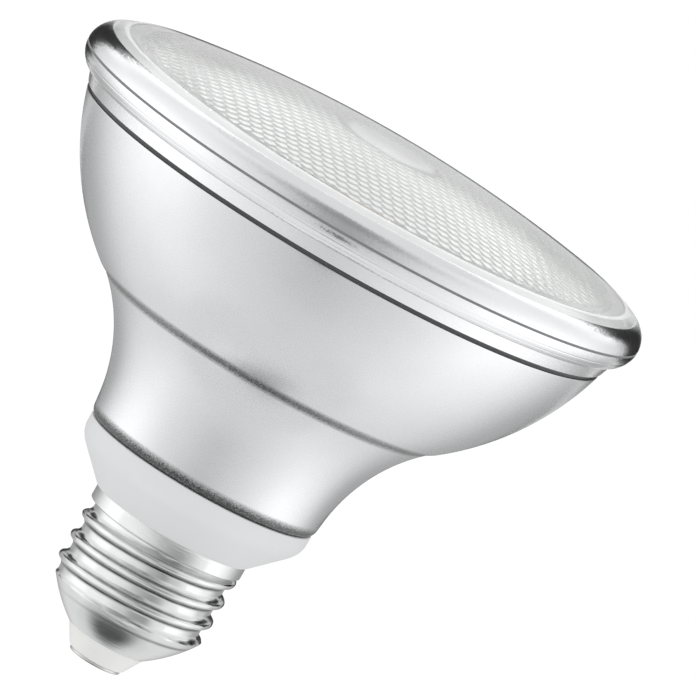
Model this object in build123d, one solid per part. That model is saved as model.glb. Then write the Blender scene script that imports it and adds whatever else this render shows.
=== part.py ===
from build123d import *
import math
import os

# A reflector lamp with a screw cap, lens up. Millimetres, +Z up along the lamp's axis.
# The origin is the middle of the centre contact's flat face, which the lampholder's spring meets.

# Heights, each from the one before, upwards from the contact face
CAP_LENGTH = 24.6  # contact face to the collar's lower edge
COLLAR_HEIGHT = 8.85  # collar's lower edge to the ledge that the glass stands on
NECK_SEAL_THICKNESS = 0.3  # cement bed between ledge and glass
NECK_HEIGHT = 21.45  # glass foot to the crease between neck and bowl
BOWL_HEIGHT = 22.5  # crease to the groove under the rim
BAND_HEIGHT = 2.9  # groove to the underside of the rim bead
BEAD_DROP = 3.3  # underside of the bead to the seam at its widest line
LENS_RISE = 4.2  # seam to the edge of the lens dome
DOME_SAG = 4.5  # edge of the lens dome to its top

# Rim, lens and glass bowl
RIM_DIAMETER = 97.0
BEAD_SECTION_RADIUS = 3.85
BEAD_OVERHANG = 2.3  # how far the bead stands out past the band under it
BEAD_TOP_ANGLE = 70.0  # degrees above the seam where the bead ends on the lens border
BORDER_STEP = 0.25  # bead's inner edge stands this far above the smooth lens border
LENS_BORDER = 4.0  # rim to the edge of the dome
LENS_WALL = 3.0
SPIGOT_DEPTH = 1.8  # ring under the lens that centres it in the bowl's mouth
SPIGOT_WALL = 2.6
SPIGOT_CLEARANCE = 0.3
RIM_SEAL_THICKNESS = 0.4
RIM_SEAL_SETBACK = 0.15
FLANGE_WALL = 3.0  # band to the mouth of the bowl
MOUTH_LAND = 1.0  # plain mouth below the lens spigot
BAND_TAPER = 1.1  # fall in radius over the band
GROOVE_WIDTH = 0.7
GROOVE_DEPTH = 0.5
GLASS_WALL = 2.4
BOWL_BULGE = 2.075  # rise of the bowl's arc over its chord
CREASE_RADIUS = 30.1
CREASE_WIDTH = 1.2  # steep strip where the flare meets the bowl
CREASE_STEP = 0.2  # how far the bowl stands out past the flare there
CREASE_ROUND = 5.0
NECK_RADIUS = 19.6  # outside of the glass foot
NECK_TAPER = 6.0  # degrees from upright
NECK_STRAIGHT = 2.75  # straight part of the neck, above the foot
FOOT_ROUND = 1.8

# Collar
COLLAR_RADIUS = 19.4
COLLAR_BAND = 2.8  # upright band at the top of the collar
COLLAR_FOOT_OVERHANG = 0.25  # collar's lower edge past the cap's plain band
COLLAR_SHOULDER_ROUND = 2.0
COLLAR_EDGE_ROUND = 0.3
COLLAR_LIP_HEIGHT = 0.35  # lip round the glass foot, above the ledge
COLLAR_LIP_WIDTH = 0.9
TUBE_GAP = 0.8  # cement gap between tube and glass neck
TUBE_WALL = 1.4
TUBE_HEIGHT = 11.55  # ledge to the tube's top
NECK_SEAL_RISE = 3.7
NECK_SEAL_FLANGE = 1.9
SPOUT_LENGTH = 10.0  # part of the collar inside the cap
SPOUT_WALL = 1.2
SPOUT_CLEARANCE = 0.1
FUNNEL_START = 1.4  # above the collar's lower edge
FUNNEL_HEIGHT = 5.0

# Screw cap, E27
THREAD_MAJOR = 26.1
THREAD_DEPTH = 1.1
THREAD_PITCH = 25.4 / 7
THREAD_CREST_RADIUS = 0.55
THREAD_VALLEY_DIP = 0.05  # valley's arc below the root, which stays as a narrow flat between turns
THREAD_VALLEY_END = 7.0  # degrees short of the valley's lowest line, inside the root
THREAD_START = 5.0  # height where the winding begins, below the rounded bottom that trims it
THREAD_START_ANGLE = 190.0  # degrees about the axis
SHELL_WALL = 0.4
BAND_STEP = 0.08  # plain band's radius past the thread's crest
PLAIN_BAND = 2.3
PLAIN_BAND_ROUND = 0.45
SHELL_LIP_RADIUS = 6.7
SHELL_LIP_HEIGHT = 3.95
SHELL_DOME_HEIGHT = 6.95  # lip to where the rounded bottom reaches the thread's crest
SHELL_DOME_BULGE = 0.45
SHELL_FLOOR_HEIGHT = 5.8  # lip to the start of the straight bore
INSULATOR_FACE_RADIUS = 4.6
INSULATOR_CLEARANCE = 0.08
INSULATOR_FLANGE = 2.4
INSULATOR_EDGE_ROUND = 0.3
CONTACT_RADIUS = 4.35
CONTACT_THICKNESS = 0.5
CONTACT_EDGE_ROUND = 0.25
RIVET_RADIUS = 1.5
RIVET_LENGTH = 7.0
RIVET_BORE_RADIUS = 0.75
RIVET_BORE_DEPTH = 4.0
RIVET_CLEARANCE = 0.05

# Light source
SPREADER_THICKNESS = 2.0
SPREADER_SKIRT_HEIGHT = 4.5
SPREADER_SKIRT_WALL = 2.0
SPREADER_CLEARANCE = 0.1
BOARD_SETBACK = 2.6  # edge of the spreader to the edge of the board
PAD_THICKNESS = 0.3
BOARD_THICKNESS = 1.6
CHIP_SIZE = 3.0
CHIP_HEIGHT = 0.8
CHIP_RING_RADIUS = 5.2
CHIP_RING_COUNT = 6
SCREW_RING_RADIUS = 11.0
SCREW_COUNT = 3
SCREW_SHANK_RADIUS = 1.2
SCREW_HEAD_RADIUS = 2.1
SCREW_HEAD_HEIGHT = 1.5
SCREW_SLOT_WIDTH = 0.6
SCREW_SLOT_DEPTH = 0.6
SCREW_CLEARANCE = 0.05

# Driver
DRIVER_OFFSET = 2.0  # middle of the driver board behind the axis
DRIVER_THICKNESS = 1.6
DRIVER_WIDTH = 26.8
DRIVER_TONGUE_WIDTH = 16.0
DRIVER_TONGUE_END = 2.1  # tongue below the collar's spout
DRIVER_TOP_GAP = 1.1  # board's top edge below the spreader's skirt
GUIDE_SLOT_CLEARANCE = 0.1
GUIDE_DEPTH = 1.4  # overlap of guide and board edge
GUIDE_WALL = 1.2
GUIDE_FLOOR = 1.5
GUIDE_SEAT = 2.45  # guide's slot floor below the ledge
PART_GAP = 0.05  # solder film between a component and the board
CAN_RADIUS = 5.0
CAN_LENGTH = 15.5
CAN_CRIMP = 0.4
CAN_LEAD_RADIUS = 0.3
CAN_LEAD_SPACING = 5.0
CAN_LEAD_RISE = 1.6
CORE_LENGTH = 11.0
CORE_DEPTH = 4.5
CORE_HEIGHT = 7.6
CORE_LEG = 1.0
CORE_WINDOW = 1.8
BOBBIN_WALL = 0.4
BOBBIN_FLANGE = 0.6
BOBBIN_DEPTH = 8.8
BOBBIN_CLEARANCE = 0.1
WINDING_SETBACK = 0.2
TRANSFORMER_X = -5.6
FILM_SIZE = (4.5, 7.5, 6.6)
FILM_X = 6.6
FILM_ROUND = 0.6
CHOKE_RADIUS = 3.0
CHOKE_WAIST = 2.2
CHOKE_LENGTH = 7.0
CHOKE_FLANGE = 1.0
CHOKE_X = -6.0
BRIDGE_SIZE = (5.0, 1.6, 4.4)
BRIDGE_X = 4.6
IC_SIZE = (4.0, 1.5, 5.0)
IC_X = 4.0
FUSE_RADIUS = 1.7
FUSE_LENGTH = 7.0
FUSE_LEAD_RADIUS = 0.35
FUSE_X = -4.6
LEAD_RADIUS = 0.6
LEAD_BEND = 1.4
LED_LEAD_INSET = 4.4  # from the driver board's edge
LED_LEAD_TAIL = 3.4
LEAD_HOLE_CLEARANCE = 0.5
LEAD_OVERLAP = 1.4  # lead laid along the driver board
MAINS_LEAD_X = 5.0
NEUTRAL_LEAD_ANGLE = 46.0  # degrees about the axis where the lead meets the shell
SHELL_TOUCH = 0.1

# Heights and radii that follow from the values above
collar_foot = CAP_LENGTH
ledge = collar_foot + COLLAR_HEIGHT
glass_foot = ledge + NECK_SEAL_THICKNESS
crease_height = glass_foot + NECK_HEIGHT
bowl_top = crease_height + BOWL_HEIGHT
bead_bottom = bowl_top + BAND_HEIGHT
seam = bead_bottom + BEAD_DROP
dome_edge = seam + LENS_RISE
apex = dome_edge + DOME_SAG
rim_radius = RIM_DIAMETER / 2
bead_center = rim_radius - BEAD_SECTION_RADIUS
band_radius = rim_radius - BEAD_OVERHANG
bowl_top_radius = band_radius - BAND_TAPER
mouth_radius = band_radius - FLANGE_WALL
dome_radius = rim_radius - LENS_BORDER
lens_seat = seam + RIM_SEAL_THICKNESS / 2
bowl_seat = seam - RIM_SEAL_THICKNESS / 2
neck_bore = NECK_RADIUS - GLASS_WALL / math.cos(math.radians(NECK_TAPER))
tube_radius = neck_bore - TUBE_GAP
tube_bore = tube_radius - TUBE_WALL
tube_top = ledge + TUBE_HEIGHT
thread_root = THREAD_MAJOR / 2 - THREAD_DEPTH
shell_bore = thread_root - SHELL_WALL
plain_band_radius = THREAD_MAJOR / 2 + BAND_STEP
plain_band_foot = collar_foot - PLAIN_BAND
shell_floor = SHELL_LIP_HEIGHT + SHELL_FLOOR_HEIGHT
spout_radius = shell_bore - SPOUT_CLEARANCE
spout_bore = spout_radius - SPOUT_WALL
spout_end = collar_foot - SPOUT_LENGTH
spreader_top = tube_top + SPREADER_THICKNESS
skirt_end = tube_top - SPREADER_SKIRT_HEIGHT
skirt_radius = tube_bore - SPREADER_CLEARANCE
board_foot = spreader_top + PAD_THICKNESS
board_top = board_foot + BOARD_THICKNESS
board_radius = tube_radius - BOARD_SETBACK
driver_front = DRIVER_OFFSET - DRIVER_THICKNESS / 2
driver_back = DRIVER_OFFSET + DRIVER_THICKNESS / 2
driver_seat = ledge - GUIDE_SEAT
driver_top = skirt_end - DRIVER_TOP_GAP
driver_foot = spout_end - DRIVER_TONGUE_END
upper_middle = (driver_seat + driver_top) / 2
lead_line = driver_back + LEAD_RADIUS + PART_GAP
lead_hole_radius = LEAD_RADIUS + LEAD_HOLE_CLEARANCE
led_lead_x = DRIVER_WIDTH / 2 - LED_LEAD_INSET


def polar(center, radius, angle):
    """Point of the profile plane at an angle in degrees round a center."""
    turn = math.radians(angle)
    return (center[0] + radius * math.cos(turn), center[1] + radius * math.sin(turn))


def arc(center, radius, start, end):
    """Arc of the profile plane between two angles in degrees."""
    middle = (start + end) / 2
    return ThreePointArc(
        polar(center, radius, start), polar(center, radius, middle), polar(center, radius, end)
    )


def joined(*pieces):
    """Closed profile from arcs and from points, in order, with straight runs between them."""
    edges = []
    first = None
    last = None
    for piece in pieces:
        is_point = isinstance(piece, tuple)
        start = Vector(*piece) if is_point else piece @ 0
        end = start if is_point else piece @ 1
        if last is not None and (start - last).length > 1e-6:
            edges.append(Line(last, start))
        if not is_point:
            edges.append(piece)
        first = start if first is None else first
        last = end
    edges.append(Line(last, first))
    return make_face(edges)


def rounded(profile, corner, radius):
    """The profile with one corner rounded."""
    nearest = profile.vertices().sort_by_distance(corner)[0]
    return fillet(nearest, radius)


def turned(profile):
    """Solid of revolution about the lamp's axis, from a profile drawn as radius and height."""
    return revolve(Plane.XZ * profile, Axis.Z)


def wire(points, radius, bend):
    """Round wire along straight runs with bends of one radius."""
    path = FilletPolyline(*points, radius=bend)
    section = Plane(origin=path @ 0, z_dir=path % 0) * Circle(radius)
    return sweep(section, path)


# Bowl: one arc from the crease to the groove, given by its ends and its rise over the chord
chord = (bowl_top_radius - CREASE_RADIUS, BOWL_HEIGHT)
chord_length = math.hypot(*chord)
chord_turn = 2 * math.degrees(math.atan(2 * BOWL_BULGE / chord_length))
bowl_arc_radius = chord_length / (2 * math.sin(math.radians(chord_turn)))
chord_angle = math.degrees(math.atan2(chord[1], chord[0]))
crease_angle = chord_angle - chord_turn - 90
bowl_end_angle = chord_angle + chord_turn - 90
crease = (CREASE_RADIUS, crease_height)
crease_foot = polar(polar(crease, -CREASE_STEP, crease_angle), CREASE_WIDTH, crease_angle - 90)
bowl_center = polar(crease, -bowl_arc_radius, crease_angle)


def glass_line(inset, flare_end=None):
    """Foot, flare and bowl, outside or set in by the wall. The flare may end short of the bowl."""
    lean = math.radians(NECK_TAPER)
    foot = (NECK_RADIUS - inset / math.cos(lean), glass_foot)
    neck_top = (foot[0] + NECK_STRAIGHT * math.tan(lean), glass_foot + NECK_STRAIGHT)
    bowl = arc(bowl_center, bowl_arc_radius - inset, crease_angle, bowl_end_angle)
    flare = TangentArc(neck_top, flare_end or bowl @ 0, tangent=(math.sin(lean), math.cos(lean)))
    return foot, flare, bowl


def front_lens():
    """Pressed glass lens: dome, smooth border, upper half of the rim bead and centring spigot."""
    sphere = (dome_radius**2 + DOME_SAG**2) / (2 * DOME_SAG)
    center = (0, apex - sphere)
    spigot = mouth_radius - SPIGOT_CLEARANCE
    spigot_bore = spigot - SPIGOT_WALL
    edge_angle = math.degrees(math.acos(dome_radius / sphere))
    inner_angle = math.degrees(math.acos(spigot_bore / (sphere - LENS_WALL)))
    seat_angle = math.degrees(math.asin(RIM_SEAL_THICKNESS / 2 / BEAD_SECTION_RADIUS))
    bead_end = polar((bead_center, seam), BEAD_SECTION_RADIUS, BEAD_TOP_ANGLE)
    profile = joined(
        arc(center, sphere, 90, edge_angle),
        (bead_end[0], bead_end[1] - BORDER_STEP),
        arc((bead_center, seam), BEAD_SECTION_RADIUS, BEAD_TOP_ANGLE, seat_angle),
        (spigot, lens_seat),
        (spigot, lens_seat - SPIGOT_DEPTH),
        (spigot_bore, lens_seat - SPIGOT_DEPTH),
        arc(center, sphere - LENS_WALL, inner_angle, 90),
    )
    return turned(profile)


def rim_seal():
    """Bonding ring in the seam between lens and bowl."""
    outside = rim_radius - RIM_SEAL_SETBACK
    profile = joined(
        (mouth_radius, bowl_seat),
        (outside, bowl_seat),
        (outside, lens_seat),
        (mouth_radius, lens_seat),
    )
    return turned(profile)


def reflector():
    """Glass bowl and neck with the lower half of the rim bead, the rim groove and the crease."""
    foot, flare, bowl = glass_line(0, crease_foot)
    inner_foot, inner_flare, inner_bowl = glass_line(GLASS_WALL)
    groove_radius = bowl_top_radius - GROOVE_DEPTH
    groove_top = bowl_top + GROOVE_WIDTH
    band_foot = bowl_top_radius + BAND_TAPER * GROOVE_WIDTH / BAND_HEIGHT
    drop_angle = math.degrees(math.asin(BEAD_DROP / BEAD_SECTION_RADIUS))
    seat_angle = math.degrees(math.asin(RIM_SEAL_THICKNESS / 2 / BEAD_SECTION_RADIUS))
    outside = joined(
        foot,
        flare,
        bowl,
        (groove_radius, bowl_top),
        (groove_radius, groove_top),
        (band_foot, groove_top),
        (band_radius, bead_bottom),
        arc((bead_center, seam), BEAD_SECTION_RADIUS, -drop_angle, -seat_angle),
        (0, bowl_seat),
        (0, glass_foot),
    )
    inside = joined(
        inner_foot,
        inner_flare,
        inner_bowl,
        (mouth_radius, bowl_seat - SPIGOT_DEPTH - MOUTH_LAND),
        (mouth_radius, bowl_seat),
        (0, bowl_seat),
        (0, glass_foot),
    )
    outside = rounded(outside, foot, FOOT_ROUND)
    outside = rounded(outside, crease_foot, CREASE_ROUND)
    outside = rounded(outside, crease, CREASE_ROUND)
    return turned(outside - inside)


def neck_seal():
    """Cement ring that beds the glass foot on the ledge and fills the gap round the tube."""
    profile = joined(
        (tube_radius, ledge),
        (tube_radius + NECK_SEAL_FLANGE, ledge),
        (tube_radius + NECK_SEAL_FLANGE, glass_foot),
        (neck_bore, glass_foot),
        (neck_bore, glass_foot + NECK_SEAL_RISE),
        (tube_radius, glass_foot + NECK_SEAL_RISE),
    )
    return turned(profile)


def collar():
    """Moulded collar: outer cone, tube up into the neck, spout down into the cap, board guides."""
    foot = plain_band_radius + COLLAR_FOOT_OVERHANG
    shoulder = (COLLAR_RADIUS, ledge - COLLAR_BAND)
    rim = (COLLAR_RADIUS, ledge + COLLAR_LIP_HEIGHT)
    lip_bore = COLLAR_RADIUS - COLLAR_LIP_WIDTH
    funnel_foot = collar_foot + FUNNEL_START
    profile = joined(
        (spout_bore, spout_end),
        (spout_radius, spout_end),
        (spout_radius, collar_foot),
        (foot, collar_foot),
        shoulder,
        rim,
        (lip_bore, ledge + COLLAR_LIP_HEIGHT),
        (lip_bore, ledge),
        (tube_radius, ledge),
        (tube_radius, tube_top),
        (tube_bore, tube_top),
        (tube_bore, funnel_foot + FUNNEL_HEIGHT),
        (spout_bore, funnel_foot),
    )
    profile = rounded(profile, shoulder, COLLAR_SHOULDER_ROUND)
    profile = rounded(profile, rim, COLLAR_EDGE_ROUND)
    slot = DRIVER_THICKNESS + 2 * GUIDE_SLOT_CLEARANCE
    inner_end = DRIVER_WIDTH / 2 - GUIDE_DEPTH
    outer_end = tube_bore + TUBE_WALL / 2
    floor = driver_seat - GUIDE_FLOOR
    size = (outer_end - inner_end, slot + 2 * GUIDE_WALL, driver_top - floor)
    guide = Pos((outer_end + inner_end) / 2, DRIVER_OFFSET, (driver_top + floor) / 2) * Box(*size)
    guide = guide & Cylinder(tube_bore + TUBE_WALL / 2, 4 * tube_top)
    width = DRIVER_WIDTH + 2 * GUIDE_SLOT_CLEARANCE
    opening = Pos(0, DRIVER_OFFSET, (driver_seat + tube_top) / 2) * Box(width, slot, tube_top - driver_seat)
    return turned(profile) + (guide - opening) + (mirror(guide, about=Plane.YZ) - opening)


def thread_ridge():
    """One ridge with hollow flanks wound up the shell, longer at both ends than what stays of it."""
    half = THREAD_PITCH / 2
    drop = THREAD_DEPTH + THREAD_VALLEY_DIP
    valley_radius = (half**2 + drop**2) / (2 * drop) - THREAD_CREST_RADIUS
    crest = (THREAD_MAJOR / 2 - THREAD_CREST_RADIUS, 0)
    valley = (thread_root - THREAD_VALLEY_DIP + valley_radius, half)
    below = (valley[0], -half)
    lean = math.degrees(math.atan2(half, valley[0] - crest[0]))
    end = polar(valley, valley_radius, 180 + THREAD_VALLEY_END)
    base = shell_bore - SHELL_WALL
    section = joined(
        (base, -end[1]),
        arc(below, valley_radius, 180 - THREAD_VALLEY_END, 180 - lean),
        arc(crest, THREAD_CREST_RADIUS, -lean, lean),
        arc(valley, valley_radius, 180 + lean, 180 + THREAD_VALLEY_END),
        (base, end[1]),
    )
    height = plain_band_foot + end[1] - THREAD_START
    ridge = sweep(Plane.XZ * section, Helix(THREAD_PITCH, height, base), is_frenet=True)
    return Pos(0, 0, THREAD_START) * (Rot(0, 0, THREAD_START_ANGLE) * ridge)


def screw_shell():
    """Pressed shell of the cap: root and plain band, the thread on it, then the cut to its form."""
    shoulder = (plain_band_radius, plain_band_foot)
    above = collar_foot + THREAD_PITCH
    blank = joined(
        (0, 0),
        (thread_root, 0),
        (thread_root, plain_band_foot),
        shoulder,
        (plain_band_radius, above),
        (0, above),
    )
    blank = turned(rounded(blank, shoulder, PLAIN_BAND_ROUND)) + thread_ridge()
    lip = (SHELL_LIP_RADIUS, SHELL_LIP_HEIGHT)
    lip_top = (SHELL_LIP_RADIUS, SHELL_LIP_HEIGHT + SHELL_WALL)
    dome_end = (plain_band_radius, SHELL_LIP_HEIGHT + SHELL_DOME_HEIGHT)
    outside = plain_band_radius + THREAD_DEPTH
    waste = joined(
        (0, -THREAD_DEPTH),
        (outside, -THREAD_DEPTH),
        (outside, dome_end[1]),
        SagittaArc(dome_end, lip, SHELL_DOME_BULGE),
        SagittaArc(lip_top, (shell_bore, shell_floor), -SHELL_DOME_BULGE),
        (shell_bore, collar_foot),
        (outside, collar_foot),
        (outside, above + THREAD_DEPTH),
        (0, above + THREAD_DEPTH),
    )
    return blank - turned(waste)


def cap_insulator():
    """Insulating button that closes the shell's bottom and carries the contact rivet."""
    waist = SHELL_LIP_RADIUS - INSULATOR_CLEARANCE
    lip_top = SHELL_LIP_HEIGHT + SHELL_WALL + INSULATOR_CLEARANCE
    rise = (SHELL_FLOOR_HEIGHT - SHELL_WALL) / (shell_bore - SHELL_LIP_RADIUS)
    flange = SHELL_LIP_RADIUS + INSULATOR_FLANGE
    hole = RIVET_RADIUS + RIVET_CLEARANCE
    face = (INSULATOR_FACE_RADIUS, CONTACT_THICKNESS)
    top = lip_top + INSULATOR_FLANGE * rise + INSULATOR_CLEARANCE
    profile = joined(
        (hole, CONTACT_THICKNESS),
        face,
        (waist, SHELL_LIP_HEIGHT),
        (waist, lip_top),
        (flange - INSULATOR_CLEARANCE, top),
        (hole, top),
    )
    return turned(rounded(profile, face, INSULATOR_EDGE_ROUND))


def centre_contact():
    """Flat contact with a hollow rivet that the live lead is clamped in."""
    edge = (CONTACT_RADIUS, 0)
    top = CONTACT_THICKNESS + RIVET_LENGTH
    profile = joined(
        (0, 0),
        edge,
        (CONTACT_RADIUS, CONTACT_THICKNESS),
        (RIVET_RADIUS, CONTACT_THICKNESS),
        (RIVET_RADIUS, top),
        (RIVET_BORE_RADIUS, top),
        (RIVET_BORE_RADIUS, top - RIVET_BORE_DEPTH),
        (0, top - RIVET_BORE_DEPTH),
    )
    return turned(rounded(profile, edge, CONTACT_EDGE_ROUND))


def lead_holes(bottom, top):
    """Cutter for the two holes that the LED leads pass through."""
    hole = Pos(0, lead_line, (bottom + top) / 2) * Cylinder(lead_hole_radius, top - bottom)
    return Pos(led_lead_x, 0, 0) * hole + Pos(-led_lead_x, 0, 0) * hole


def screw_holes(bottom, top):
    """Cutter for the holes of the board screws."""
    hole = Pos(0, 0, (bottom + top) / 2) * Cylinder(SCREW_SHANK_RADIUS + SCREW_CLEARANCE, top - bottom)
    return Part() + PolarLocations(SCREW_RING_RADIUS, SCREW_COUNT, start_angle=90) * hole


def heat_spreader():
    """Aluminium cup whose skirt plugs into the tube and whose top carries the LED board."""
    profile = joined(
        (0, tube_top),
        (skirt_radius - SPREADER_SKIRT_WALL, tube_top),
        (skirt_radius - SPREADER_SKIRT_WALL, skirt_end),
        (skirt_radius, skirt_end),
        (skirt_radius, tube_top),
        (tube_radius, tube_top),
        (tube_radius, spreader_top),
        (0, spreader_top),
    )
    return turned(profile) - lead_holes(tube_top, spreader_top) - screw_holes(tube_top, spreader_top)


def disc(radius, bottom, top):
    """Round plate with the holes for leads and screws."""
    plate = Pos(0, 0, (bottom + top) / 2) * Cylinder(radius, top - bottom)
    return plate - lead_holes(bottom, top) - screw_holes(bottom, top)


def led_chips():
    """LED packages: one in the middle and a ring round it."""
    height = board_top + CHIP_HEIGHT / 2
    chip = Pos(0, 0, height) * Box(CHIP_SIZE, CHIP_SIZE, CHIP_HEIGHT)
    ring = PolarLocations(CHIP_RING_RADIUS, CHIP_RING_COUNT) * chip
    return Compound(children=[chip] + list(ring))


def board_screws():
    """Slotted pan-head screws that clamp the LED board to the spreader."""
    shank_length = board_top - tube_top
    shank = Pos(0, 0, board_top - shank_length / 2) * Cylinder(SCREW_SHANK_RADIUS, shank_length)
    head = Pos(0, 0, board_top + SCREW_HEAD_HEIGHT / 2) * Cylinder(SCREW_HEAD_RADIUS, SCREW_HEAD_HEIGHT)
    slot_size = (2 * SCREW_HEAD_RADIUS, SCREW_SLOT_WIDTH, 2 * SCREW_SLOT_DEPTH)
    slot = Pos(0, 0, board_top + SCREW_HEAD_HEIGHT) * Box(*slot_size)
    screws = PolarLocations(SCREW_RING_RADIUS, SCREW_COUNT, start_angle=90) * (shank + head - slot)
    return Compound(children=list(screws))


def driver_board():
    """Upright circuit board: wide part in the guides, narrow tongue down into the cap."""
    upper = driver_top - driver_seat
    lower = driver_seat - driver_foot
    wide = Pos(0, 0, driver_seat + upper / 2) * Box(DRIVER_WIDTH, DRIVER_THICKNESS, upper)
    tongue = Pos(0, 0, driver_seat - lower / 2) * Box(DRIVER_TONGUE_WIDTH, DRIVER_THICKNESS, lower)
    return Pos(0, DRIVER_OFFSET, 0) * (wide + tongue)


def electrolytic_capacitor():
    """Capacitor can lying along the board's tongue, with its two leads bent into the board."""
    axis_y = driver_front - CAN_RADIUS - PART_GAP
    top = driver_foot + CAN_LENGTH
    crimp = (CAN_RADIUS - CAN_CRIMP, top - 3 * CAN_CRIMP)
    profile = joined(
        (0, driver_foot),
        (CAN_RADIUS, driver_foot),
        (CAN_RADIUS, crimp[1] - CAN_CRIMP),
        crimp,
        (CAN_RADIUS, crimp[1] + CAN_CRIMP),
        (CAN_RADIUS, top),
        (0, top),
    )
    bend = top + CAN_LEAD_RISE
    lead_points = [(0, 0, top - CAN_CRIMP), (0, 0, bend), (0, driver_front - axis_y, bend)]
    lead = wire(lead_points, CAN_LEAD_RADIUS, 3 * CAN_LEAD_RADIUS)
    half = CAN_LEAD_SPACING / 2
    return Pos(0, axis_y, 0) * (turned(profile) + Pos(half, 0, 0) * lead + Pos(-half, 0, 0) * lead)


def transformer_place():
    """Middle of the transformer, with its bobbin flanges standing on the board's front."""
    return Pos(TRANSFORMER_X, driver_front - BOBBIN_DEPTH / 2, upper_middle)


def transformer_leg():
    """Height of the core's middle leg between its two windows."""
    return CORE_HEIGHT - 2 * CORE_LEG - 2 * CORE_WINDOW


def transformer_core():
    """Two E halves of ferrite meeting as one block with two windows."""
    shift = (transformer_leg() + CORE_WINDOW) / 2
    window = Box(CORE_LENGTH - 2 * CORE_LEG, CORE_DEPTH, CORE_WINDOW)
    body = Box(CORE_LENGTH, CORE_DEPTH, CORE_HEIGHT)
    return transformer_place() * (body - Pos(0, 0, shift) * window - Pos(0, 0, -shift) * window)


def bobbin_tube(extra):
    """Box round the core's middle leg, grown by an extra on each side."""
    grown = BOBBIN_CLEARANCE + extra
    length = CORE_LENGTH - 2 * CORE_LEG - 2 * BOBBIN_CLEARANCE
    return Box(length, CORE_DEPTH + 2 * grown, transformer_leg() + 2 * grown)


def transformer_bobbin():
    """Square tube with two flanges, moulded in one piece."""
    length = CORE_LENGTH - 2 * CORE_LEG - 2 * BOBBIN_CLEARANCE
    reach = transformer_leg() + 2 * CORE_WINDOW - 2 * BOBBIN_CLEARANCE
    flange = Box(BOBBIN_FLANGE, BOBBIN_DEPTH, reach)
    shift = (length - BOBBIN_FLANGE) / 2
    solid = bobbin_tube(BOBBIN_WALL) + Pos(shift, 0, 0) * flange + Pos(-shift, 0, 0) * flange
    return transformer_place() * (solid - bobbin_tube(0))


def transformer_winding():
    """Copper winding between the flanges, as its outer form."""
    length = CORE_LENGTH - 2 * CORE_LEG - 2 * BOBBIN_CLEARANCE - 2 * BOBBIN_FLANGE
    reach = transformer_leg() + 2 * CORE_WINDOW - 2 * BOBBIN_CLEARANCE - 2 * WINDING_SETBACK
    body = Box(length, BOBBIN_DEPTH - 2 * WINDING_SETBACK, reach)
    body = fillet(body.edges().filter_by(Axis.X), BOBBIN_FLANGE)
    return transformer_place() * (body - bobbin_tube(BOBBIN_WALL))


def film_capacitor():
    """Dipped film capacitor standing on the board's front."""
    body = Box(*FILM_SIZE)
    body = fillet(body.edges().filter_by(Axis.Y), FILM_ROUND)
    return Pos(FILM_X, driver_front - FILM_SIZE[1] / 2, upper_middle) * body


def bridge_rectifier():
    """Bridge rectifier package on the board's back."""
    return Pos(BRIDGE_X, driver_back + BRIDGE_SIZE[1] / 2, upper_middle) * Box(*BRIDGE_SIZE)


def driver_chip():
    """Control chip on the back of the tongue."""
    height = (driver_seat + driver_foot) / 2
    return Pos(IC_X, driver_back + IC_SIZE[1] / 2, height) * Box(*IC_SIZE)


def input_choke():
    """Drum choke standing on the board's back."""
    profile = joined(
        (0, 0),
        (CHOKE_RADIUS, 0),
        (CHOKE_RADIUS, CHOKE_FLANGE),
        (CHOKE_WAIST, CHOKE_FLANGE),
        (CHOKE_WAIST, CHOKE_LENGTH - CHOKE_FLANGE),
        (CHOKE_RADIUS, CHOKE_LENGTH - CHOKE_FLANGE),
        (CHOKE_RADIUS, CHOKE_LENGTH),
        (0, CHOKE_LENGTH),
    )
    return Pos(CHOKE_X, driver_back, upper_middle) * (Rot(-90, 0, 0) * turned(profile))


def fusible_resistor():
    """Fusible resistor along the back of the tongue, with its bent leads."""
    line = driver_back + FUSE_RADIUS + PART_GAP
    middle = (driver_seat + driver_foot) / 2 + LEAD_BEND
    reach = FUSE_LENGTH / 2 + LEAD_BEND
    points = [
        (FUSE_X, driver_back, middle - reach),
        (FUSE_X, line, middle - reach),
        (FUSE_X, line, middle + reach),
        (FUSE_X, driver_back, middle + reach),
    ]
    leads = wire(points, FUSE_LEAD_RADIUS, 2 * FUSE_LEAD_RADIUS)
    body = Cylinder(FUSE_RADIUS, FUSE_LENGTH)
    body = fillet(body.edges(), FUSE_LEAD_RADIUS)
    return leads + Pos(FUSE_X, line, middle) * body


def live_lead():
    """Lead from the contact rivet up to the back of the tongue."""
    rivet_top = CONTACT_THICKNESS + RIVET_LENGTH
    points = [
        (0, 0, rivet_top - RIVET_BORE_DEPTH),
        (0, 0, rivet_top + LEAD_BEND),
        (-MAINS_LEAD_X, lead_line, driver_foot - LEAD_RADIUS),
        (-MAINS_LEAD_X, lead_line, driver_foot + 2 * LEAD_OVERLAP),
    ]
    return wire(points, LEAD_RADIUS, LEAD_BEND)


def neutral_lead():
    """Lead from the back of the tongue out to the inside of the shell, under the collar's spout."""
    level = spout_end - 2 * LEAD_RADIUS
    reach = shell_bore - SHELL_TOUCH
    turn = math.radians(NEUTRAL_LEAD_ANGLE)
    points = [
        (MAINS_LEAD_X, lead_line, level + 3 * LEAD_OVERLAP),
        (MAINS_LEAD_X, lead_line, level),
        (reach * math.cos(turn), reach * math.sin(turn), level),
    ]
    return wire(points, LEAD_RADIUS, LEAD_BEND)


def led_lead(side):
    """Lead from the driver board's top, through the spreader, over onto the LED board."""
    x = side * led_lead_x
    level = board_top + LEAD_RADIUS + PART_GAP
    points = [
        (x, lead_line, driver_top - LEAD_OVERLAP),
        (x, lead_line, level),
        (x, lead_line + LED_LEAD_TAIL, level),
    ]
    return wire(points, LEAD_RADIUS, LEAD_BEND)


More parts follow.
